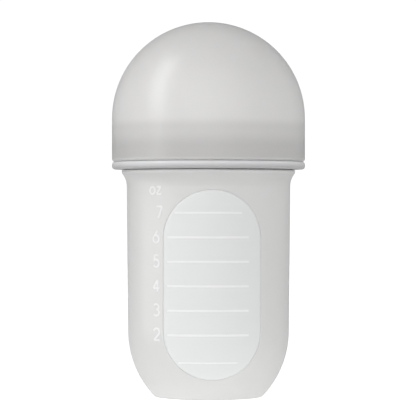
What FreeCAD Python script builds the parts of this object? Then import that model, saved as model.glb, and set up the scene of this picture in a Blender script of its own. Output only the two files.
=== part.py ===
# Pouch-type baby bottle: a rigid outer shell with two oval windows, a soft pouch that bulges
# through them, a nipple, a screw collar that clamps nipple and pouch, and a domed cover.
# Millimetres, +Z up, origin on the bottle's axis where it stands. The front window faces -Y.
import FreeCAD
import Part
import math
import os
from FreeCAD import Vector

# Outer shell
body_radius = 34.7        # outside, just under the flare
body_draft = 0.5          # how much narrower the straight side is at its lower end
curve_height = 28.0       # where the straight side runs into the lower curve
curve_radius = 40.0       # lower curve, seen from the side
shell_wall = 1.8
base_wall = 2.0
base_recess = 1.0         # depth of the dish under the base
standing_rim = 4.0        # width of the rim that the bottle stands on, before its rounds
foot_round = 1.6
flare_radius = 9.0        # hollow curve from the side out to the lip
lip_overhang = 2.1        # how far the lip stands out from the side
lip_thickness = 1.3
lip_height = 96.2         # top of the lip above the base
neck_wall = 1.7
neck_height = 15.2        # from the lip up to the rim that the pouch hangs on
edge_round = 0.5          # small rounds on rigid edges

# Windows, front and back
window_width = 39.6
window_bottom = 9.2
window_headroom = 1.7     # from the window's top up to the flare
window_round = 0.5

# Pouch
pouch_gap = 0.35          # between pouch and shell
pouch_wall = 1.7
pouch_floor_round = 6.0
pouch_flange = 1.6        # thickness of the flange on the neck's rim
flange_inset = 0.4        # both flanges stand back from the neck's outside
pad_gap = 0.25            # round the pad, in its window
pad_proud = 0.7           # pad in front of the shell's outside
pad_wall = 2.0
pad_round = 0.9
first_mark_height = 16.25 # lowest graduation rib on each pad
first_mark_step = 11.35   # the narrow foot holds less, so its step is longer
mark_step = 10.1
mark_margin = 5.0         # ribs keep this far from the pad's top and bottom
mark_thickness = 0.8
mark_proud = 0.2
mark_start = 1.6          # from the pad's edge on the side of the figures
mark_end = 4.6            # from the pad's other edge

# Collar
thread_depth = 1.0        # room for the thread on the neck, and again in the collar
thread_clearance = 0.3
collar_wall = 1.9
collar_top = 2.2
collar_shoulder = 3.0
collar_hole_radius = 25.0
ring_gap = 0.25           # from the lip up to the collar's ring
ring_thickness = 3.3
snap_bead_lift = 3.4      # middle of the snap bead above the ring
snap_bead_width = 2.6

# Nipple
nipple_flange = 1.8       # thickness of the flange under the collar's top
nipple_clearance = 0.3    # in the collar's hole
nipple_wall = 2.0
bead_overhang = 1.5       # how far the nipple's bead reaches over the collar's top
bead_side = 1.4           # straight side of that bead, below the broad part
mound_swell = 3.0         # how much larger the ball of the broad part is than the bead
teat_radius = 8.0
teat_slope = 2.5          # degrees that the teat's side leans in
teat_length = 16.0        # from the ball's top to the teat's tip
teat_root_round = 6.0
flow_hole_radius = 0.5

# Cover
cover_room = 1.2          # from the collar's skirt out to the cover's wall
cover_wall = 2.0
cover_headroom = 5.9      # from the teat's tip up to the dome
cover_rim_round = 1.2
snap_clearance = 0.3      # between the cover's wall and the collar's snap bead

# Radii that follow from the sizes above
lip_radius = body_radius + lip_overhang
neck_radius = body_radius - shell_wall + neck_wall
flange_radius = neck_radius - flange_inset
collar_bore = neck_radius + thread_depth + thread_clearance
skirt_radius = collar_bore + collar_wall
cover_bore = skirt_radius + cover_room
cover_radius = cover_bore + cover_wall
snap_bead_radius = cover_bore - snap_clearance
waist_radius = collar_hole_radius - nipple_clearance
bead_radius = collar_hole_radius + bead_overhang
mound_radius = bead_radius + mound_swell
curve_centre = body_radius - body_draft - curve_radius
lip_round = 0.35 * lip_thickness
ring_round = 0.4 * ring_thickness
overshoot = shell_wall                    # cutters reach this far past what they open
cutter_reach = 2 * cover_radius

# Heights that follow, from the floor up
shell_floor = base_recess + base_wall
pouch_floor = shell_floor + pouch_gap
pouch_inset = shell_wall + pouch_gap
flare_rise = math.sqrt(flare_radius ** 2 - (flare_radius - lip_overhang) ** 2)
flare_start = lip_height - lip_thickness - flare_rise
window_top = flare_start - window_headroom
rim_height = lip_height + neck_height
nipple_seat = rim_height + pouch_flange
collar_ceiling = nipple_seat + nipple_flange
collar_summit = collar_ceiling + collar_top
ring_bottom = lip_height + ring_gap
ring_top = ring_bottom + ring_thickness
bead_bottom = collar_summit + nipple_clearance / 2
mound_centre = bead_bottom + bead_side - math.sqrt(mound_radius ** 2 - bead_radius ** 2)
teat_tip = mound_centre + mound_radius + teat_length
dome_centre = teat_tip + cover_headroom - cover_bore


def at(radius, height):
    return Vector(radius, 0, height)


def toward(centre, distance, angle):
    """Point at a distance from a centre, at an angle turned outward from straight up."""
    return centre + at(distance * math.sin(angle), distance * math.cos(angle))


def outline(*steps):
    """Face in the X-Z half plane: each step is a point, or a pair of a point on an arc and its end."""
    edges = []
    here = steps[0]
    for step in steps[1:] + steps[:1]:
        if isinstance(step, tuple):
            through, step = step
            edges.append(Part.Arc(here, through, step).toShape())
        else:
            edges.append(Part.LineSegment(here, step).toShape())
        here = step
    return Part.Face(Part.Wire(edges))


def turned(*steps):
    return outline(*steps).revolve(Vector(0, 0, 0), Vector(0, 0, 1), 360)


def rounded(solid, radius, *circles):
    """Rounds the level circular edges given by their (radius, height)."""
    chosen = []
    for edge in solid.Edges:
        if edge.Degenerated or not isinstance(edge.Curve, Part.Circle):
            continue
        for wanted in circles:
            same_height = abs(edge.Curve.Center.z - wanted[1]) < 1e-4
            if same_height and abs(edge.Curve.Radius - wanted[0]) < 1e-4:
                chosen.append(edge)
    return solid.makeFillet(radius, chosen)


def curve_point(inset, height):
    """Point of the lower curve, moved in by inset, at a height below the straight side."""
    reach = curve_radius - inset
    return at(curve_centre + math.sqrt(reach ** 2 - (curve_height - height) ** 2), height)


def side_radius(inset):
    """Where the straight side starts and ends, moved in by inset."""
    return body_radius - body_draft - inset, body_radius - inset


def cup(inset, floor, top):
    """Solid of the body's form, moved in by inset, from a flat floor up to a flat top."""
    low, high = side_radius(inset)
    foot = curve_point(inset, floor)
    middle = curve_point(inset, (floor + curve_height) / 2)
    return turned(at(0, floor), foot, (middle, at(low, curve_height)),
                  at(high, flare_start), at(high, top), at(0, top))


def stadium_ends(inset):
    """End radius of the window's outline, moved in by inset, and the heights of its two end centres."""
    return window_width / 2 - inset, window_bottom + window_width / 2, window_top - window_width / 2


def stadium(inset):
    """Prism along Y of the window's outline, moved in by inset."""
    half, low, high = stadium_ends(inset)
    edges = [
        Part.LineSegment(at(half, low), at(half, high)).toShape(),
        Part.Arc(at(half, high), at(0, high + half), at(-half, high)).toShape(),
        Part.LineSegment(at(-half, high), at(-half, low)).toShape(),
        Part.Arc(at(-half, low), at(0, low - half), at(half, low)).toShape(),
    ]
    prism = Part.Face(Part.Wire(edges)).extrude(Vector(0, 2 * cutter_reach, 0))
    prism.translate(Vector(0, -cutter_reach, 0))
    return prism


def stadium_half_width(inset, height):
    """Half the width of the window's outline, moved in by inset, at a height."""
    half, low, high = stadium_ends(inset)
    past_end = max(low - height, height - high, 0)
    return math.sqrt(max(half ** 2 - past_end ** 2, 0))


def skin_radius(inset, height):
    """Radius of the body's form, moved in by inset, at a height."""
    if height < curve_height:
        return curve_point(inset, height).x
    low, high = side_radius(inset)
    share = (height - curve_height) / (flare_start - curve_height)
    return low + (high - low) * min(share, 1)


def window_rounded(solid, radius, window_inset, skin_inset):
    """Rounds the edges where the window's outline meets the body's form, each moved in by its inset."""
    chosen = []
    for edge in solid.Edges:
        if edge.Degenerated:
            continue
        middle = edge.valueAt((edge.FirstParameter + edge.LastParameter) / 2)
        points = [vertex.Point for vertex in edge.Vertexes] + [middle]
        on_skin = [abs(math.hypot(point.x, point.y) - skin_radius(skin_inset, point.z)) < 1e-3
                   for point in points]
        on_outline = [abs(abs(point.x) - stadium_half_width(window_inset, point.z)) < 1e-3
                      for point in points]
        if all(on_skin) and all(on_outline):
            chosen.append(edge)
    return solid.makeFillet(radius, chosen)


def outer_shell():
    foot = curve_point(0, 0)
    middle = curve_point(0, curve_height / 2)
    low, high = side_radius(0)
    dish = foot.x - standing_rim
    half_turn = math.acos(1 - lip_overhang / flare_radius) / 2
    flare_middle = toward(at(body_radius + flare_radius, flare_start), -flare_radius, math.pi / 2 + half_turn)
    lip_edge = lip_height - lip_thickness
    solid = turned(at(0, base_recess), at(dish - base_recess, base_recess), at(dish, 0),
                   foot, (middle, at(low, curve_height)),
                   at(high, flare_start), (flare_middle, at(lip_radius, lip_edge)),
                   at(lip_radius, lip_height), at(neck_radius, lip_height),
                   at(neck_radius, rim_height), at(0, rim_height))
    solid = rounded(solid, foot_round, (foot.x, 0))
    solid = rounded(solid, lip_round, (lip_radius, lip_height), (lip_radius, lip_edge))
    solid = rounded(solid, edge_round, (neck_radius, rim_height))
    cavity = cup(shell_wall, shell_floor, rim_height + overshoot)
    cavity = rounded(cavity, pouch_floor_round, (curve_point(shell_wall, shell_floor).x, shell_floor))
    solid = solid.cut([cavity, stadium(0)])
    return window_rounded(solid, window_round, 0, 0)


def pads():
    """Both pads as one block across the axis, with rounded front edges."""
    block = cup(-pad_proud, shell_floor, lip_height).common(stadium(pad_gap))
    return window_rounded(block, pad_round, pad_gap, -pad_proud)


def mark_heights():
    """Heights of the graduation ribs, as many as the pad has room for."""
    heights = []
    height = first_mark_height
    step = first_mark_step
    while height < window_top - mark_margin:
        if height > window_bottom + mark_margin:
            heights.append(height)
        height += step
        step = mark_step
    return heights


def marks():
    """Graduation ribs on both pads. Each starts beside the figures and stops short of the far edge."""
    skin = cup(-pad_proud - mark_proud, shell_floor, lip_height)
    ribs = []
    for height in mark_heights():
        half = stadium_half_width(pad_gap, height)
        length = 2 * half - mark_start - mark_end
        slab = Part.makeBox(length, cutter_reach, mark_thickness,
                            Vector(mark_start - half, -cutter_reach, height - mark_thickness / 2))
        front = slab.common(skin)
        back = front.copy()
        back.rotate(Vector(0, 0, 0), Vector(0, 0, 1), 180)
        ribs += [front, back]
    return ribs


def pouch():
    body = cup(pouch_inset, pouch_floor, rim_height)
    body = rounded(body, pouch_floor_round, (curve_point(pouch_inset, pouch_floor).x, pouch_floor))
    flange = Part.makeCylinder(flange_radius, pouch_flange, at(0, rim_height))
    solid = body.fuse([flange, pads()] + marks())
    inset = pouch_inset + pouch_wall
    floor = pouch_floor + pouch_wall
    cavity = cup(inset, floor, nipple_seat + overshoot)
    cavity = rounded(cavity, pouch_floor_round, (curve_point(inset, floor).x, floor))
    pocket = cup(pad_wall - pad_proud, floor, lip_height).common(stadium(pad_gap + pad_wall))
    return solid.cut(cavity.fuse(pocket)).removeSplitter()


def nipple_form(inset, foot_radius, floor):
    """Solid of the nipple's form, moved in by inset: ball, hollow round, tapered teat, round tip."""
    ball = at(0, mound_centre)
    crown = at(0, teat_tip - teat_radius)
    ball_radius = mound_radius - inset
    tip_radius = teat_radius - inset
    hollow_radius = teat_root_round + inset
    slope = math.radians(teat_slope)
    level = math.pi / 2 - slope
    reach = tip_radius + hollow_radius + math.sin(slope) * (crown.z - ball.z)
    lean = math.asin(reach / (ball_radius + hollow_radius)) - slope
    foot_lean = math.asin(foot_radius / ball_radius)
    hollow = toward(ball, ball_radius + hollow_radius, lean)
    return turned(at(0, floor), at(foot_radius, floor), toward(ball, ball_radius, foot_lean),
                  (toward(ball, ball_radius, (foot_lean + lean) / 2), toward(ball, ball_radius, lean)),
                  (toward(hollow, -hollow_radius, (lean + level) / 2), toward(hollow, -hollow_radius, level)),
                  toward(crown, tip_radius, level),
                  (toward(crown, tip_radius, level / 2), toward(crown, tip_radius, 0)))


def nipple():
    outside = nipple_form(0, bead_radius, bead_bottom)
    waist = Part.makeCylinder(waist_radius, bead_bottom - nipple_seat, at(0, nipple_seat))
    flange = Part.makeCylinder(flange_radius, nipple_flange, at(0, nipple_seat))
    inside = nipple_form(nipple_wall, waist_radius - nipple_wall, nipple_seat - overshoot)
    flow_hole = Part.makeCylinder(flow_hole_radius, nipple_wall + 2 * overshoot,
                                  at(0, teat_tip - nipple_wall - overshoot))
    return outside.fuse([waist, flange]).cut(inside.fuse(flow_hole)).removeSplitter()


def screw_collar():
    solid = turned(at(collar_bore, ring_bottom), at(cover_radius, ring_bottom), at(cover_radius, ring_top),
                   at(skirt_radius, ring_top), at(skirt_radius, collar_summit),
                   at(collar_hole_radius, collar_summit), at(collar_hole_radius, collar_ceiling),
                   at(collar_bore, collar_ceiling))
    solid = rounded(solid, collar_shoulder, (skirt_radius, collar_summit))
    solid = rounded(solid, ring_round, (cover_radius, ring_bottom), (cover_radius, ring_top))
    solid = rounded(solid, edge_round, (collar_hole_radius, collar_summit), (collar_bore, ring_bottom))
    middle = ring_top + snap_bead_lift
    low = middle - snap_bead_width / 2
    high = middle + snap_bead_width / 2
    bead = turned(at(collar_bore, low), at(skirt_radius, low),
                  (at(snap_bead_radius, middle), at(skirt_radius, high)), at(collar_bore, high))
    return solid.fuse(bead).removeSplitter()


def dome_cover():
    centre = at(0, dome_centre)
    slant = math.pi / 4
    solid = turned(at(cover_bore, ring_top), at(cover_radius, ring_top), at(cover_radius, dome_centre),
                   (toward(centre, cover_radius, slant), toward(centre, cover_radius, 0)),
                   toward(centre, cover_bore, 0),
                   (toward(centre, cover_bore, slant), at(cover_bore, dome_centre)))
    solid = rounded(solid, cover_rim_round, (cover_radius, ring_top))
    return rounded(solid, edge_round, (cover_bore, ring_top))


def main():
    os.makedirs("parts", exist_ok=True)
    pieces = {
        "outer_shell": outer_shell(),
        "pouch": pouch(),
        "nipple": nipple(),
        "screw_collar": screw_collar(),
        "dome_cover": dome_cover(),
    }
    for name, shape in pieces.items():
        shape.exportStep("parts/" + name + ".step")
        print(name, len(shape.Solids), shape.isValid(), round(shape.Volume, 1))


main()
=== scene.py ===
# Pouch-type baby bottle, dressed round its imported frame.
# The dictionaries are in millimetres and degrees, the meshes in metres. +Z is up, the front window faces -Y.
import bmesh
import bpy
import math
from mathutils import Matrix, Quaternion, Vector


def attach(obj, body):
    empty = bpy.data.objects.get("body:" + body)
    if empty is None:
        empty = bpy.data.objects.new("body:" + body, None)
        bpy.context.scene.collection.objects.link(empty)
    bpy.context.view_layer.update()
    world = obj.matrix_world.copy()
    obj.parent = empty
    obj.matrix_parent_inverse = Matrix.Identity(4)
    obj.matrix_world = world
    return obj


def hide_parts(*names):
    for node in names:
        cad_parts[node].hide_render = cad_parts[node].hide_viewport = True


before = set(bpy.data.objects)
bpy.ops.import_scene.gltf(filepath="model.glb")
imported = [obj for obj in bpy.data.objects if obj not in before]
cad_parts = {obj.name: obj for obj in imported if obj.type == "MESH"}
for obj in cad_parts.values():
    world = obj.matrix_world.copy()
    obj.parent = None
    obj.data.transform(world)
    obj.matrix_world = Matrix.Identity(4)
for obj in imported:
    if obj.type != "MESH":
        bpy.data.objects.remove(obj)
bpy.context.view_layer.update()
scene = bpy.context.scene
mm = 0.001
print("frame loaded:", sorted(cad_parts))


# Camera, level with the middle of the bottle and a little to the left of its front
cameraView = {"distance": 1080, "lens": 219.9, "height": 80.1, "azimuth": -3.0, "aside": -0.2, "near": 50}


def addObject(name, data):
    piece = bpy.data.objects.new(name, data)
    scene.collection.objects.link(piece)
    return piece


def addCamera(view):
    lens = bpy.data.cameras.new("bottleCamera")
    lens.lens = view["lens"]
    lens.clip_start = view["near"] * mm
    camera = addObject("bottleCamera", lens)
    turn = math.radians(view["azimuth"])
    across = view["aside"] + view["distance"] * math.sin(turn)
    camera.location = (across * mm, -view["distance"] * math.cos(turn) * mm, view["height"] * mm)
    camera.rotation_euler = (math.pi / 2, 0, turn)
    scene.camera = camera


addCamera(cameraView)
print("camera set")


# Node helpers, for geometry and for materials
def feedNode(tree, node, feeds):
    for socket, source in feeds.items():
        if isinstance(source, bpy.types.NodeSocket):
            tree.links.new(source, node.inputs[socket])
        else:
            node.inputs[socket].default_value = source


def addNode(tree, kind, feeds=None, **settings):
    node = tree.nodes.new(kind)
    for name, value in settings.items():
        setattr(node, name, value)
    feedNode(tree, node, feeds or {})
    return node


def addMath(tree, operation, *values):
    return addNode(tree, "ShaderNodeMath", dict(enumerate(values)), operation=operation).outputs[0]


def addVectorMath(tree, operation, *values):
    node = addNode(tree, "ShaderNodeVectorMath", dict(enumerate(values)), operation=operation)
    return node.outputs["Value" if operation in ("DISTANCE", "DOT_PRODUCT") else "Vector"]


# Merging distances, and the angle past which an edge is shaded sharp
meshForm = {"weld": 0.0005, "seamWeld": 0.001, "crease": 40}


# A tree takes a path, its sizes and a finish, and gives a piece. Sizes named Steps are whole numbers.
def startTree(name, sizes):
    tree = bpy.data.node_groups.new(name, "GeometryNodeTree")
    tree.is_modifier = True
    tree.interface.new_socket("Path", in_out="INPUT", socket_type="NodeSocketGeometry")
    for label in sizes:
        kind = "NodeSocketInt" if label.endswith("Steps") else "NodeSocketFloat"
        tree.interface.new_socket(label, in_out="INPUT", socket_type=kind)
    tree.interface.new_socket("Finish", in_out="INPUT", socket_type="NodeSocketMaterial")
    tree.interface.new_socket("Piece", in_out="OUTPUT", socket_type="NodeSocketGeometry")
    return tree, tree.nodes.new("NodeGroupInput").outputs


def endTree(tree, made, given):
    smooth = addNode(tree, "GeometryNodeSetShadeSmooth", {0: made})
    real = addNode(tree, "GeometryNodeRealizeInstances", {0: smooth.outputs[0]})
    finish = addNode(tree, "GeometryNodeSetMaterial", {0: real.outputs[0], "Material": given["Finish"]})
    addNode(tree, "NodeGroupOutput", {0: finish.outputs[0]})
    return tree


# Puts the mesh that a modifier gives in the place of the piece's own
def settle(piece, modifier):
    whole = piece.evaluated_get(bpy.context.evaluated_depsgraph_get())
    made = bpy.data.meshes.new_from_object(whole)
    piece.modifiers.remove(modifier)
    piece.data = made


# Runs a tree on a path, with its inputs set by their identifiers, and keeps the plain mesh
def growPiece(name, path, tree, sizes, finish):
    piece = addObject(name, path)
    modifier = piece.modifiers.new(tree.name, "NODES")
    modifier.node_group = tree
    values = dict(sizes, Finish=finish)
    for item in tree.interface.items_tree:
        if item.in_out == "INPUT" and item.name in values:
            modifier[item.identifier] = values[item.name]
    settle(piece, modifier)
    piece.data.name = name
    return piece


# Merges doubles, points the faces outwards and shades the edges past the crease sharp
def cleanMesh(piece, crease):
    mesh = piece.data
    work = bmesh.new()
    work.from_mesh(mesh)
    bmesh.ops.remove_doubles(work, verts=work.verts, dist=meshForm["weld"] * mm)
    bmesh.ops.recalc_face_normals(work, faces=work.faces)
    work.to_mesh(mesh)
    work.free()
    mesh.shade_smooth()
    mesh.set_sharp_from_angle(angle=math.radians(crease))
    return piece


# Lines in millimetres as a mesh of edges, with a share of the full section at each point where one is given
def pathMesh(name, lines, fades=None):
    points, edges = [], []
    for line in lines:
        edges += [(len(points) + i, len(points) + i + 1) for i in range(len(line) - 1)]
        points += [[c * mm for c in point] for point in line]
    mesh = bpy.data.meshes.new(name)
    mesh.from_pydata(points, edges, [])
    if fades:
        fade = mesh.attributes.new("fade", "FLOAT", "POINT")
        fade.data.foreach_set("value", [value for line in fades for value in line])
    return mesh


# Turns a profile round the bottle's axis
def makeLatheTree():
    tree, given = startTree("latheTree", ["Round Steps"])
    count = addNode(tree, "GeometryNodeAttributeDomainSize", {0: given["Path"]}).outputs["Point Count"]
    columns = addMath(tree, "ADD", given["Round Steps"], 1.0)
    grid = addNode(tree, "GeometryNodeMeshGrid", {"Vertices X": columns, "Vertices Y": count})
    index = addNode(tree, "GeometryNodeInputIndex").outputs[0]
    along = addMath(tree, "FLOORED_MODULO", index, count)
    column = addMath(tree, "FLOOR", addMath(tree, "DIVIDE", index, count))
    share = addMath(tree, "DIVIDE", column, given["Round Steps"])
    angle = addMath(tree, "MULTIPLY", share, math.tau)
    place = addNode(tree, "GeometryNodeInputPosition").outputs[0]
    sample = addNode(tree, "GeometryNodeSampleIndex",
                     {"Geometry": given["Path"], "Value": place, "Index": along},
                     data_type="FLOAT_VECTOR", domain="POINT")
    turned = addNode(tree, "ShaderNodeVectorRotate", {"Vector": sample.outputs[0], "Angle": angle},
                     rotation_type="Z_AXIS")
    moved = addNode(tree, "GeometryNodeSetPosition",
                    {0: grid.outputs["Mesh"], "Position": turned.outputs[0]})
    joined = addNode(tree, "GeometryNodeMergeByDistance",
                     {0: moved.outputs[0], "Distance": meshForm["seamWeld"] * mm})
    return endTree(tree, joined.outputs[0], given)


# Turns the section of a line's sweep straight out from the bottle's axis
def faceOutward(tree, line):
    place = addNode(tree, "GeometryNodeInputPosition").outputs[0]
    level = addVectorMath(tree, "MULTIPLY", place, (1, 1, 0))
    outward = addVectorMath(tree, "NORMALIZE", level)
    return addNode(tree, "GeometryNodeSetCurveNormal", {0: line, "Normal": outward}, mode="FREE").outputs[0]


# Lays a rounded bar along lines that lie on the bottle's side, flat against it
def makeBarTree():
    tree, given = startTree("barTree", ["Width", "Depth", "Round", "Corner Steps"])
    line = addNode(tree, "GeometryNodeMeshToCurve", {0: given["Path"]}).outputs[0]
    facing = faceOutward(tree, line)
    bar = addNode(tree, "GeometryNodeCurvePrimitiveQuadrilateral",
                  {"Width": given["Depth"], "Height": given["Width"]})
    soft = addNode(tree, "GeometryNodeFilletCurve",
                   {0: bar.outputs[0], "Radius": given["Round"], "Count": given["Corner Steps"]},
                   mode="POLY")
    fade = addNode(tree, "GeometryNodeInputNamedAttribute", {"Name": "fade"}, data_type="FLOAT").outputs[0]
    swept = addNode(tree, "GeometryNodeCurveToMesh",
                    {"Curve": facing, "Profile Curve": soft.outputs[0], "Scale": fade, "Fill Caps": True})
    return endTree(tree, swept.outputs[0], given)


# Winds a thread of trapezoid section, eased out at both ends, on or in a round wall
def makeThreadTree():
    tree, given = startTree("threadTree", ["Radius", "Lead", "Turns", "Start", "Root", "Crest", "Height",
                                           "Offset", "Side", "Ease", "End Scale", "Turn Steps"])
    rise = addMath(tree, "MULTIPLY", given["Lead"], given["Turns"])
    coil = addNode(tree, "GeometryNodeCurveSpiral",
                   {"Resolution": given["Turn Steps"], "Rotations": given["Turns"],
                    "Start Radius": given["Radius"], "End Radius": given["Radius"], "Height": rise})
    foot = addNode(tree, "ShaderNodeCombineXYZ", {"Z": given["Start"]}).outputs[0]
    raised = addNode(tree, "GeometryNodeTransform", {0: coil.outputs[0], "Translation": foot})
    facing = faceOutward(tree, raised.outputs[0])
    section = addNode(tree, "GeometryNodeCurvePrimitiveQuadrilateral",
                      {"Bottom Width": given["Root"], "Top Width": given["Crest"], "Offset": 0.0,
                       "Height": given["Height"]}, mode="TRAPEZOID")
    upright = addNode(tree, "GeometryNodeTransform",
                      {0: section.outputs[0], "Rotation": (0, 0, -math.pi / 2)})
    reach = addNode(tree, "ShaderNodeCombineXYZ", {"X": given["Offset"]}).outputs[0]
    seated = addNode(tree, "GeometryNodeTransform", {0: upright.outputs[0], "Translation": reach})
    flip = addNode(tree, "ShaderNodeCombineXYZ", {"X": given["Side"], "Y": 1.0, "Z": 1.0}).outputs[0]
    sided = addNode(tree, "GeometryNodeTransform", {0: seated.outputs[0], "Scale": flip})
    along = addNode(tree, "GeometryNodeSplineParameter").outputs["Factor"]
    fromEnd = addMath(tree, "MINIMUM", along, addMath(tree, "SUBTRACT", 1.0, along))
    fade = addNode(tree, "ShaderNodeMapRange",
                   {"Value": fromEnd, "From Max": given["Ease"], "To Min": given["End Scale"]},
                   interpolation_type="SMOOTHSTEP").outputs[0]
    swept = addNode(tree, "GeometryNodeCurveToMesh",
                    {"Curve": facing, "Profile Curve": sided.outputs[0], "Scale": fade, "Fill Caps": True})
    return endTree(tree, swept.outputs[0], given)


latheTree = makeLatheTree()
barTree = makeBarTree()
threadTree = makeThreadTree()
print("node trees built")


# The shell's body form, which the pouch and the figures follow
bodyForm = {"radius": 34.7, "draft": 0.5, "curveHeight": 28.0, "curveRadius": 40.0, "straightTop": 89.12,
            "rim": 111.4, "windowWidth": 39.6, "windowBottom": 9.2, "windowTop": 87.42}


def curveCentre():
    return bodyForm["radius"] - bodyForm["draft"] - bodyForm["curveRadius"]


# Radius of the body's form moved in by inset, at a height
def skinRadius(inset, height):
    low = bodyForm["radius"] - bodyForm["draft"] - inset
    drop = bodyForm["curveHeight"] - height
    if drop > 0:
        return curveCentre() + math.sqrt((bodyForm["curveRadius"] - inset) ** 2 - drop ** 2)
    share = -drop / (bodyForm["straightTop"] - bodyForm["curveHeight"])
    return low + bodyForm["draft"] * min(share, 1)


# Heights at which the window's round ends have their centres
def windowCentres():
    bend = bodyForm["windowWidth"] / 2
    return bodyForm["windowBottom"] + bend, bodyForm["windowTop"] - bend


# How far a height lies past those centres, in a round end of the window
def pastCentres(height):
    low, high = windowCentres()
    return max(low - height, height - high, 0)


# Points on an arc, with angles in radians from straight up towards the right
def arcLine(centre, radius, start, end, steps):
    points = []
    for i in range(steps + 1):
        angle = start + (end - start) * i / steps
        points.append((centre[0] + radius * math.sin(angle), centre[1] + radius * math.cos(angle)))
    return points


# Rounded rim of a flange, from its underside to its top
def flangeRim(radius, low, high, bend, steps):
    return (arcLine((radius - bend, low + bend), bend, math.pi, math.pi / 2, steps)
            + arcLine((radius - bend, high - bend), bend, math.pi / 2, 0, steps))


def spin(name, profile, steps, finish):
    path = pathMesh(name + "Profile", [[(radius, 0, height) for radius, height in profile]])
    return cleanMesh(growPiece(name, path, latheTree, {"Round Steps": steps}, finish), meshForm["crease"])


# Joins a closed piece with another or cuts it by the other, which is then gone
def combine(piece, other, operation):
    modifier = piece.modifiers.new(operation.lower(), "BOOLEAN")
    modifier.solver = "MANIFOLD"
    modifier.operation = operation
    modifier.object = other
    settle(piece, modifier)
    bpy.data.objects.remove(other)
    return piece


# Bars along lines on the bottle's side, a little thinner at both ends
def growBars(name, lines, form, finish):
    fades = [[form["endFade"]] + [1.0] * (len(line) - 2) + [form["endFade"]] for line in lines]
    sizes = {"Width": form["width"] * mm, "Depth": form["depth"] * mm, "Round": form["round"] * mm,
             "Corner Steps": form["cornerSteps"]}
    bars = growPiece(name, pathMesh(name + "Lines", lines, fades), barTree, sizes, finish)
    return cleanMesh(bars, meshForm["crease"])


# What all finishes share: how fine their noises are, and the tinge of the light that scatters in them
finishForm = {"cloudNoise": {"Detail": 3.0, "Roughness": 0.55}, "satinNoise": {"Detail": 2.0},
              "grainNoise": {"Detail": 2.0}, "scatterTinge": (1.0, 0.97, 0.94)}


def addNoise(tree, where, scale, fineness):
    return addNode(tree, "ShaderNodeTexNoise", {"Vector": where, "Scale": scale, **fineness}).outputs["Fac"]


# Painted shade and painted highlight: each step darkens or lightens the colour below a height by its share,
# which fades out from low to high
def paintShadeAndLightByHeight(tree, colour, where, paintedShading):
    height = addNode(tree, "ShaderNodeSeparateXYZ", {0: where}).outputs["Z"]
    for shade in paintedShading:
        fade = addNode(tree, "ShaderNodeMapRange",
                       {"Value": height, "From Min": shade["low"] * mm, "From Max": shade["high"] * mm,
                        "To Min": shade["share"]}, interpolation_type="SMOOTHSTEP").outputs[0]
        shaded = addNode(tree, "ShaderNodeVectorMath", {0: colour, "Scale": fade}, operation="SCALE")
        colour = shaded.outputs[0]
    return colour


# A finish with a faint cloudiness, an uneven satin and a fine moulded grain
def milkyMaterial(name, look):
    material = bpy.data.materials.new(name)
    material.use_nodes = True
    tree = material.node_tree
    where = addNode(tree, "ShaderNodeTexCoord").outputs["Object"]
    cloud = addNoise(tree, where, look["cloudScale"], finishForm["cloudNoise"])
    tint = addNode(tree, "ShaderNodeMix", {0: cloud, 6: (*look["deep"], 1), 7: (*look["pale"], 1)},
                   data_type="RGBA")                     # its colours are sockets 6 and 7, and 2 when mixed
    colour = tint.outputs[2]
    # painted light and shade along the height, where the look lists any
    if "paintedShading" in look:
        colour = paintShadeAndLightByHeight(tree, colour, where, look["paintedShading"])
    smooth, rough = look["roughness"]
    satin = addNoise(tree, where, look["satinScale"], finishForm["satinNoise"])
    gloss = addNode(tree, "ShaderNodeMapRange", {"Value": satin, "To Min": smooth, "To Max": rough})
    grain = addNoise(tree, where, look["grainScale"], finishForm["grainNoise"])
    bump = addNode(tree, "ShaderNodeBump", {"Height": grain, "Strength": look["grain"],
                                            "Distance": look["grainDepth"] * mm})
    feedNode(tree, tree.nodes["Principled BSDF"],
             {"Base Color": colour, "Roughness": gloss.outputs[0], "Normal": bump.outputs[0],
              "IOR": look["ior"], "Specular IOR Level": look["specular"],
              "Subsurface Weight": look["scatter"], "Subsurface Radius": finishForm["scatterTinge"],
              "Subsurface Scale": look["scatterDepth"] * mm})
    return material


def dressNode(name, material):
    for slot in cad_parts[name].material_slots:
        slot.material = material


# Outer shell: hard milky plastic whose lip is painted lighter than the shell below, a painted highlight;
# kept as the frame's own solid
shellLook = {"pale": (0.868, 0.868, 0.859), "deep": (0.834, 0.834, 0.824), "cloudScale": 28.0,
             "satinScale": 90.0, "roughness": (0.30, 0.36), "grainScale": 2600.0, "grain": 0.10,
             "grainDepth": 0.03, "ior": 1.49, "specular": 0.9, "scatter": 1.0, "scatterDepth": 0.5,
             # painted highlight: the shell below the lip is darkened, so the lip reads lighter
             "paintedShading": [{"share": 0.893, "low": 94.4, "high": 95.3}]}
milkyShell = milkyMaterial("milkyShell", shellLook)
dressNode("outer_shell", milkyShell)
print("shell dressed")

# Collar: harder plastic with a faint cold tinge, and painted shade on the lower part of its ring
collarLook = {"pale": (0.79, 0.787, 0.80), "deep": (0.755, 0.752, 0.764), "cloudScale": 40.0,
              "satinScale": 120.0, "roughness": (0.30, 0.38), "grainScale": 2600.0, "grain": 0.10,
              "grainDepth": 0.03, "ior": 1.49, "specular": 0.8, "scatter": 1.0, "scatterDepth": 1.2,
              # painted shade: the ring darker towards its bottom
              "paintedShading": [{"share": 0.70, "low": 96.9, "high": 99.3}]}
collarPlastic = milkyMaterial("collarPlastic", collarLook)
dressNode("screw_collar", collarPlastic)
print("collar dressed")
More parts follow.
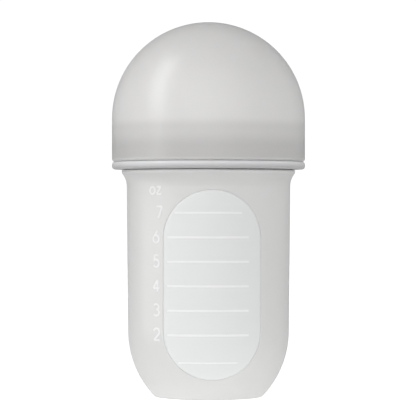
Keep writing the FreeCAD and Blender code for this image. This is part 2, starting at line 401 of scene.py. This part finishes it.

# Cover: frosted, with painted shade where the collar stands behind it and a painted highlight at its rim
coverLook = {"pale": (0.788, 0.780, 0.772), "deep": (0.760, 0.752, 0.744), "cloudScale": 22.0,
             "satinScale": 70.0, "roughness": (0.28, 0.33), "grainScale": 2200.0, "grain": 0.12,
             "grainDepth": 0.03, "ior": 1.49, "specular": 1.0, "scatter": 1.0, "scatterDepth": 3.0,
             # two steps of painted shade over the collar, then a painted highlight at the rim
             "paintedShading": [{"share": 0.865, "low": 113.4, "high": 118.0},
                        {"share": 0.855, "low": 105.5, "high": 112.0},
                        {"share": 1.15, "low": 100.2, "high": 101.4}]}
dressNode("dome_cover", milkyMaterial("frostedCover", coverLook))
print("cover dressed")

# Pouch: soft silicone bag that hangs in the neck and stands through both windows with its pads
pouchForm = {"inset": 2.15, "wall": 1.7, "floor": 3.35, "floorRound": 6.0, "flange": 1.6,
             "flangeRadius": 34.2, "flangeRound": 0.45, "padGap": -0.35, "padProud": 0.7, "padCrown": 0.25,
             "padWall": 2.0, "padRound": 0.9, "pocketRound": 0.4, "cutAbove": 2.0, "segments": 192,
             "cornerSteps": 10, "curveSteps": 24, "rimSteps": 4, "sideSteps": 40, "endSteps": 28,
             "roundSteps": 5, "fillSteps": 9, "crease": 35,
             "look": {"pale": (0.835, 0.85, 0.845), "deep": (0.815, 0.83, 0.825), "cloudScale": 30.0,
                      "satinScale": 60.0, "roughness": (0.36, 0.46), "grainScale": 1800.0, "grain": 0.12,
                      "grainDepth": 0.03, "ior": 1.43, "specular": 0.45, "scatter": 1.0,
                      "scatterDepth": 1.0}}
pouchSilicone = milkyMaterial("pouchSilicone", pouchForm["look"])


# Profile of the body's form moved in by inset, from the axis at the floor up its side
def cupProfile(form, inset, floor):
    corner = form["floorRound"]
    reach = bodyForm["curveRadius"] - inset
    centre = (curveCentre(), bodyForm["curveHeight"])
    level = floor + corner
    across = centre[0] + math.sqrt((reach - corner) ** 2 - (centre[1] - level) ** 2)
    lean = math.atan2(across - centre[0], level - centre[1])
    return ([(0, floor)] + arcLine((across, level), corner, math.pi, lean, form["cornerSteps"])
            + arcLine(centre, reach, lean, math.pi / 2, form["curveSteps"])[1:]
            + [(skinRadius(inset, bodyForm["straightTop"]), bodyForm["straightTop"])])


# Points round the window's outline, moved in by inset
def windowRing(form, inset):
    half = bodyForm["windowWidth"] / 2 - inset
    low, high = windowCentres()
    side = [low + (high - low) * i / form["sideSteps"] for i in range(form["sideSteps"])]
    ring = [(half, height) for height in side]
    ring += arcLine((0, high), half, math.pi / 2, -math.pi / 2, form["endSteps"])[:-1]
    ring += [(-half, low + high - height) for height in side]
    ring += arcLine((0, low), half, -math.pi / 2, -math.pi * 3 / 2, form["endSteps"])[:-1]
    return ring


# Height of a pad's crown at a share of the way from its rounded edge to its middle
def crownHeight(crown, share):
    return crown * (1 - (1 - share) ** 2)


# Four-sided faces between two rings of points
def bandFaces(first, second, count):
    faces = []
    for i in range(count):
        following = (i + 1) % count
        faces.append((first + i, first + following, second + following, second + i))
    return faces


# Block through the bottle with the window's outline and both faces on the body's form
def padBlock(name, form, gap, skin, edge, crown):
    half = bodyForm["windowWidth"] / 2 - gap
    levels = []
    for i in range(form["roundSteps"] + 1):
        turn = math.pi / 2 * i / form["roundSteps"]
        levels.append((gap + edge * (1 - math.cos(turn)), skin + edge * (1 - math.sin(turn))))
    for i in range(1, form["fillSteps"] + 1):
        share = i / form["fillSteps"]
        levels.append((gap + edge + (half - edge) * share, skin - crownHeight(crown, share)))
    points, faces = [], []
    for facing in (-1, 1):
        for inset, depth in levels:
            for across, height in windowRing(form, inset):
                reach = math.sqrt(skinRadius(depth, height) ** 2 - across ** 2)
                points.append([c * mm for c in (across, facing * reach, height)])
    rings = len(levels)
    count = len(points) // (2 * rings)
    for side in range(2):
        for ring in range(rings - 1):
            first = (side * rings + ring) * count
            faces += bandFaces(first, first + count, count)
    faces += bandFaces(0, rings * count, count)          # from the front's outermost ring to the back's
    mesh = bpy.data.meshes.new(name)
    mesh.from_pydata(points, [], faces)
    return cleanMesh(addObject(name, mesh), meshForm["crease"])


def makePouch(form, finish):
    rim, top = bodyForm["rim"], bodyForm["rim"] + form["flange"]
    outside = cupProfile(form, form["inset"], form["floor"])
    neck = outside[-1][0]
    edge = flangeRim(form["flangeRadius"], rim, top, form["flangeRound"], form["rimSteps"])
    pouch = spin("pouch", outside + [(neck, rim)] + edge + [(0, top)], form["segments"], finish)
    pads = padBlock("pads", form, form["padGap"], -form["padProud"], form["padRound"], form["padCrown"])
    pouch = combine(pouch, pads, "UNION")
    inside = cupProfile(form, form["inset"] + form["wall"], form["floor"] + form["wall"])
    bore, above = inside[-1][0], top + form["cutAbove"]
    cavity = spin("cavity", inside + [(bore, above), (0, above)], form["segments"], finish)
    pouch = combine(pouch, cavity, "DIFFERENCE")
    pocket = padBlock("pocket", form, form["padGap"] + form["padWall"], form["padWall"] - form["padProud"],
                      form["pocketRound"], 0)
    return combine(pouch, pocket, "DIFFERENCE")


pouch = makePouch(pouchForm, pouchSilicone)
print("pouch made, faces:", len(pouch.data.polygons))

# Graduation ribs on both pads, one for each fluid ounce
markForm = {"first": 16.25, "firstStep": 11.35, "step": 10.1, "count": 7, "width": 0.9, "depth": 0.4,
            "round": 0.04, "cornerSteps": 3, "proud": 0.05, "startGap": 1.6, "endGap": 5.2, "spacing": 1.0,
            "endFade": 0.85,
            "look": {"pale": (0.985, 0.995, 1.0), "deep": (0.965, 0.98, 0.985), "cloudScale": 60.0,
                     "satinScale": 90.0, "roughness": (0.36, 0.44), "grainScale": 2400.0, "grain": 0.08,
                     "grainDepth": 0.02, "ior": 1.43, "specular": 0.45, "scatter": 1.0,
                     "scatterDepth": 1.0}}


def markHeights(form):
    heights = [form["first"], form["first"] + form["firstStep"]]
    while len(heights) < form["count"]:
        heights.append(heights[-1] + form["step"])
    return heights


def padHalf():
    return bodyForm["windowWidth"] / 2 - pouchForm["padGap"]


def padCrownAt(across, height):
    inward = padHalf() - math.hypot(across, pastCentres(height)) - pouchForm["padRound"]
    share = inward / (padHalf() - pouchForm["padRound"])
    return crownHeight(pouchForm["padCrown"], min(max(share, 0), 1))


def makeMarks(form, finish):
    lines = []
    for facing in (-1, 1):
        for height in markHeights(form):
            half = math.sqrt(padHalf() ** 2 - pastCentres(height) ** 2)
            start, end = form["startGap"] - half, half - form["endGap"]
            steps = math.ceil((end - start) / form["spacing"])
            line = []
            for i in range(steps + 1):
                across = start + (end - start) * i / steps
                pad = pouchForm["padProud"] + padCrownAt(across, height)
                lift = pad + form["proud"] - form["depth"] / 2
                reach = math.sqrt(skinRadius(-lift, height) ** 2 - across ** 2)
                line.append((-facing * across, facing * reach, height))
            lines.append(line)
    return growBars("pouchMarks", lines, form, finish)


def setFinishes(piece, finishes, chosen):
    piece.data.materials.clear()
    for finish in finishes:
        piece.data.materials.append(finish)
    for face in piece.data.polygons:
        face.material_index = chosen


markSilicone = milkyMaterial("markSilicone", markForm["look"])
pouchMarks = makeMarks(markForm, markSilicone)
setFinishes(pouch, [pouchSilicone, markSilicone], 0)
setFinishes(pouchMarks, [pouchSilicone, markSilicone], 1)
pouch = combine(pouch, pouchMarks, "UNION")              # moulded in one with the pads
cleanMesh(pouch, pouchForm["crease"])
pouch.data.name = "pouch"
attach(pouch, "shell")
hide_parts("pouch")
print("marks made:", markForm["count"], "on each pad, faces of the pouch:", len(pouch.data.polygons))

# Figures of the scale, printed on the shell to the left of the front window
figureForm = {"azimuth": -42.0, "height": 5.2, "ozHeight": 3.3, "ozLift": 9.1, "ozAzimuth": -42.3,
              "lift": 0.2, "width": 0.85, "depth": 0.14, "round": 0.03, "cornerSteps": 3, "proud": 0.04,
              "spacing": 0.3, "cornerCut": 0.25, "cutRounds": 2, "endFade": 0.5, "layer": 0.006,
              "letters": "234567", "top": "oz", "gap": 0.16, "turns": {"7": 3.0},
              "look": {"pale": (0.93, 0.93, 0.93), "deep": (0.91, 0.91, 0.91), "cloudScale": 200.0,
                       "satinScale": 200.0, "roughness": (0.40, 0.50), "grainScale": 3000.0, "grain": 0.05,
                       "grainDepth": 0.01, "ior": 1.45, "specular": 0.4, "scatter": 0.0,
                       "scatterDepth": 0.5}}


# Points on a bow, with angles in degrees from the right towards straight up
def bow(across, up, wide, tall, start, end, steps):
    points = []
    for i in range(steps + 1):
        angle = math.radians(start + (end - start) * i / steps)
        points.append((across + wide * math.cos(angle), up + tall * math.sin(angle)))
    return points


# Width and strokes of each figure, in a box one unit high
figureStrokes = {
    "2": (0.66, [bow(0.33, 0.68, 0.29, 0.29, 165, -38, 16) + [(0.05, 0.03)], [(0.05, 0.03), (0.63, 0.03)]]),
    "3": (0.66, [bow(0.31, 0.745, 0.25, 0.225, 150, -90, 14), bow(0.31, 0.285, 0.29, 0.255, 90, -150, 16)]),
    "4": (0.68, [[(0.47, 0.03), (0.47, 0.97)], [(0.47, 0.97), (0.04, 0.29)], [(0.04, 0.29), (0.64, 0.29)]]),
    "5": (0.64, [[(0.57, 0.97), (0.17, 0.97), (0.12, 0.57)] + bow(0.31, 0.33, 0.29, 0.30, 130, -150, 18)]),
    "6": (0.66, [[(0.46, 0.97)] + bow(0.33, 0.32, 0.29, 0.29, 148, 508, 28)]),
    "7": (0.64, [[(0.04, 0.97), (0.60, 0.97)], [(0.60, 0.97), (0.23, 0.03)]]),
    "o": (0.94, [bow(0.47, 0.5, 0.42, 0.46, 90, 450, 28)]),
    "z": (0.86, [[(0.06, 0.96), (0.80, 0.96)], [(0.80, 0.96), (0.06, 0.04)], [(0.06, 0.04), (0.82, 0.04)]]),
}


def between(here, there, share):
    return tuple(a + (b - a) * share for a, b in zip(here, there))


# Adds points along a line and cuts its corners a little
def softLine(line, form):
    dense = [line[0]]
    for here, there in zip(line, line[1:]):
        steps = max(1, math.ceil(math.dist(here, there) / form["spacing"]))
        dense += [between(here, there, i / steps) for i in range(1, steps + 1)]
    for _ in range(form["cutRounds"]):
        soft = [dense[0]]
        for here, there in zip(dense, dense[1:]):
            soft += [between(here, there, form["cornerCut"]), between(there, here, form["cornerCut"])]
        dense = soft + [dense[-1]]
    return dense[::2] + ([dense[-1]] if len(dense) % 2 == 0 else [])


# Each figure's letters, height, middle and azimuth, from the lowest up
def figureRows(form):
    rows = []
    for letter, mark in zip(form["letters"], markHeights(markForm)[1:]):
        azimuth = form["azimuth"] + form["turns"].get(letter, 0)
        rows.append((letter, form["height"], mark + form["lift"], azimuth))
    highest = rows[-1][2]
    return rows + [(form["top"], form["ozHeight"], highest + form["ozLift"], form["ozAzimuth"])]


def makeFigures(form, finish):
    lines = []
    for word, tall, middle, azimuth in figureRows(form):
        wide = sum(figureStrokes[letter][0] for letter in word) + form["gap"] * (len(word) - 1)
        start = -wide / 2
        for letter in word:
            for layer, stroke in enumerate(figureStrokes[letter][1]):     # each a hair above the last
                inset = form["depth"] / 2 - form["proud"] - layer * form["layer"]
                flat = [((start + x) * tall, middle + (y - 0.5) * tall) for x, y in stroke]
                line = []
                for across, height in softLine(flat, form):
                    radius = skinRadius(inset, height)
                    angle = math.radians(azimuth) + across / radius
                    line.append((radius * math.sin(angle), -radius * math.cos(angle), height))
                lines.append(line)
            start += figureStrokes[letter][0] + form["gap"]
    return growBars("scaleFigures", lines, form, finish)


scaleFigures = makeFigures(figureForm, milkyMaterial("figurePrint", figureForm["look"]))
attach(scaleFigures, "shell")
print("figures made")

# Nipple: silicone, turned from one profile
nippleForm = {"seat": 113.0, "flange": 1.8, "flangeRadius": 34.2, "waist": 24.7, "beadBottom": 117.15,
              "bead": 26.5, "beadSide": 1.4, "ball": 29.5, "teat": 8.0, "slope": 2.5, "teatLength": 16.0,
              "rootRound": 6.0, "wall": 2.0, "flowHole": 0.5, "edge": 0.4, "segments": 144, "rimSteps": 4,
              "ballSteps": 22, "rootSteps": 12, "tipSteps": 18,
              "look": {"pale": (0.90, 0.89, 0.87), "deep": (0.86, 0.85, 0.83), "cloudScale": 45.0,
                       "satinScale": 80.0, "roughness": (0.34, 0.44), "grainScale": 1600.0, "grain": 0.10,
                       "grainDepth": 0.03, "ior": 1.43, "specular": 0.45, "scatter": 1.0,
                       "scatterDepth": 4.0}}


# Ball, hollow round, tapered teat and round tip, moved in by inset, from the foot up
def nippleLine(form, inset, foot):
    ballHeight = form["beadBottom"] + form["beadSide"] - math.sqrt(form["ball"] ** 2 - form["bead"] ** 2)
    tip = ballHeight + form["ball"] + form["teatLength"] - form["teat"]
    ball, crown, hollow = form["ball"] - inset, form["teat"] - inset, form["rootRound"] + inset
    slope = math.radians(form["slope"])
    level = math.pi / 2 - slope
    reach = crown + hollow + math.sin(slope) * (tip - ballHeight)
    lean = math.asin(reach / (ball + hollow)) - slope
    root = ((ball + hollow) * math.sin(lean), ballHeight + (ball + hollow) * math.cos(lean))
    return (arcLine((0, ballHeight), ball, math.asin(foot / ball), lean, form["ballSteps"])
            + arcLine(root, -hollow, lean, level, form["rootSteps"])[1:]
            + arcLine((0, tip), crown, level, math.asin(form["flowHole"] / crown), form["tipSteps"]))


def makeNipple(form, finish):
    seat, top, edge = form["seat"], form["seat"] + form["flange"], form["edge"]
    waist, bead, under = form["waist"], form["bead"], form["beadBottom"]
    inner = waist - form["wall"]
    base = ([(inner, seat)] + flangeRim(form["flangeRadius"], seat, top, edge, form["rimSteps"])
            + [(waist, top), (waist, under)]
            + arcLine((bead - edge, under + edge), edge, math.pi, math.pi / 2, form["rimSteps"]))
    inside = nippleLine(form, form["wall"], inner)
    profile = base + nippleLine(form, 0, bead) + inside[::-1] + [(inner, seat)]
    return spin("nipple", profile, form["segments"], finish)


nipple = makeNipple(nippleForm, milkyMaterial("nippleSilicone", nippleForm["look"]))
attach(nipple, "nipple")
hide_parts("nipple")
print("nipple made, faces:", len(nipple.data.polygons))

# Screw threads on the neck and in the collar: right-hand, half a lead apart so that they never meet
threadForm = {"lead": 4.5, "turns": 1.0, "root": 2.0, "crest": 0.9, "depth": 1.0, "sink": 0.2,
              "ease": 0.10, "endScale": 0.04, "turnSteps": 144, "crease": 25,
              "neckRadius": 34.6, "neckStart": 101.0, "boreRadius": 35.9}


def makeThread(name, form, radius, start, side, finish):
    sizes = {"Radius": radius * mm, "Lead": form["lead"] * mm, "Turns": form["turns"], "Start": start * mm,
             "Root": form["root"] * mm, "Crest": form["crest"] * mm,
             "Height": (form["depth"] + form["sink"]) * mm,
             "Offset": (form["depth"] - form["sink"]) / 2 * mm, "Side": float(side), "Ease": form["ease"],
             "End Scale": form["endScale"], "Turn Steps": form["turnSteps"]}
    path = bpy.data.meshes.new(name + "Path")            # left empty: the tree winds its own
    return cleanMesh(growPiece(name, path, threadTree, sizes, finish), form["crease"])


neckThread = makeThread("neckThread", threadForm, threadForm["neckRadius"], threadForm["neckStart"], 1,
                        milkyShell)
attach(neckThread, "shell")
collarThread = makeThread("collarThread", threadForm, threadForm["boreRadius"],
                          threadForm["neckStart"] - threadForm["lead"] / 2, -1, collarPlastic)
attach(collarThread, "collar")
print("threads made")

# Studio: soft air from the sides, brightest in front, a pool of light on the floor, two lights at the left
studioSetup = {"left": 0.71, "right": 0.87, "front": 1.56, "back": 0.22, "above": 0.21, "below": 0.0,
               "white": 1.05, "floorWhite": 0.80, "glowNear": 0.33, "glowFar": 0.0, "glowAt": (15, -10, 0),
               "glowReach": 250, "floorShown": 0.75, "floorRadius": 2500, "floorSteps": 96,
               "sideLight": {"power": 4.7, "size": (440, 1500), "at": (-1033, -334, 807),
                             "aim": (0, 0, 110), "lean": 18, "sheenOnly": False},
               "whiteCard": {"power": 0.085, "size": (240, 92), "at": (-340, -18, 46),
                             "aim": (0, 0, 46), "lean": 0, "sheenOnly": True}}


def addSoftLight(name, setup):
    light = bpy.data.lights.new(name, "AREA")
    light.shape = "RECTANGLE"
    light.energy = setup["power"]
    light.size, light.size_y = [edge * mm for edge in setup["size"]]
    lamp = addObject(name, light)
    lamp.location = [c * mm for c in setup["at"]]
    ahead = Vector(setup["aim"]) - Vector(setup["at"])
    lean = Quaternion((0, 0, 1), math.radians(setup["lean"]))
    lamp.rotation_euler = (ahead.to_track_quat("-Z", "Y") @ lean).to_euler()
    lamp.visible_camera = False
    lamp.visible_diffuse = not setup["sheenOnly"]


# Air that lights the bottle by a soft lobe from each side, and that the camera sees as plain white
def addAir(setup):
    world = bpy.data.worlds.new("studioAir")
    scene.world = world
    world.use_nodes = True
    tree = world.node_tree
    tree.nodes.clear()
    way = addNode(tree, "ShaderNodeTexCoord").outputs["Generated"]
    lobes = []
    for end, sides in (("MAXIMUM", ("right", "back", "above")), ("MINIMUM", ("left", "front", "below"))):
        part = addVectorMath(tree, end, way, (0, 0, 0))
        square = addVectorMath(tree, "MULTIPLY", part, part)
        lobes.append(addVectorMath(tree, "DOT_PRODUCT", square, [setup[side] for side in sides]))
    air = addNode(tree, "ShaderNodeBackground", {"Strength": addMath(tree, "ADD", *lobes)})
    white = addNode(tree, "ShaderNodeBackground", {"Strength": setup["white"]})
    for light in (air, white):
        light.inputs["Color"].default_value = (1, 1, 1, 1)
    ray = addNode(tree, "ShaderNodeLightPath").outputs["Is Camera Ray"]
    shown = addNode(tree, "ShaderNodeMixShader", {0: ray, 1: air.outputs[0], 2: white.outputs[0]})
    addNode(tree, "ShaderNodeOutputWorld", {"Surface": shown.outputs[0]})


# White paper that glows round the bottle's foot, and glows evenly for the camera
def paperMaterial(setup):
    paper = bpy.data.materials.new("studioPaper")
    paper.use_nodes = True
    tree = paper.node_tree
    where = addNode(tree, "ShaderNodeTexCoord").outputs["Object"]
    away = addVectorMath(tree, "DISTANCE", where, [c * mm for c in setup["glowAt"]])
    pool = addNode(tree, "ShaderNodeMapRange",
                   {"Value": away, "From Max": setup["glowReach"] * mm, "To Min": setup["glowNear"],
                    "To Max": setup["glowFar"]}, interpolation_type="SMOOTHSTEP")
    ray = addNode(tree, "ShaderNodeLightPath").outputs["Is Camera Ray"]
    glow = addNode(tree, "ShaderNodeMapRange",
                   {"Value": ray, "To Min": pool.outputs[0], "To Max": setup["floorShown"]})
    feedNode(tree, tree.nodes["Principled BSDF"],
             {"Base Color": (setup["floorWhite"],) * 3 + (1,), "Roughness": 1.0, "Specular IOR Level": 0.0,
              "Emission Color": (1, 1, 1, 1), "Emission Strength": glow.outputs[0]})
    return paper


def addFloor(setup):
    disc = bpy.data.meshes.new("studioFloor")
    work = bmesh.new()
    bmesh.ops.create_circle(work, cap_ends=True, segments=setup["floorSteps"],
                            radius=setup["floorRadius"] * mm)
    work.to_mesh(disc)
    work.free()
    disc.materials.append(paperMaterial(setup))
    addObject("studioFloor", disc)


scene.view_settings.view_transform = "Standard"
addAir(studioSetup)
addFloor(studioSetup)
for name in ("sideLight", "whiteCard"):
    addSoftLight(name, studioSetup[name])
print("studio lit")
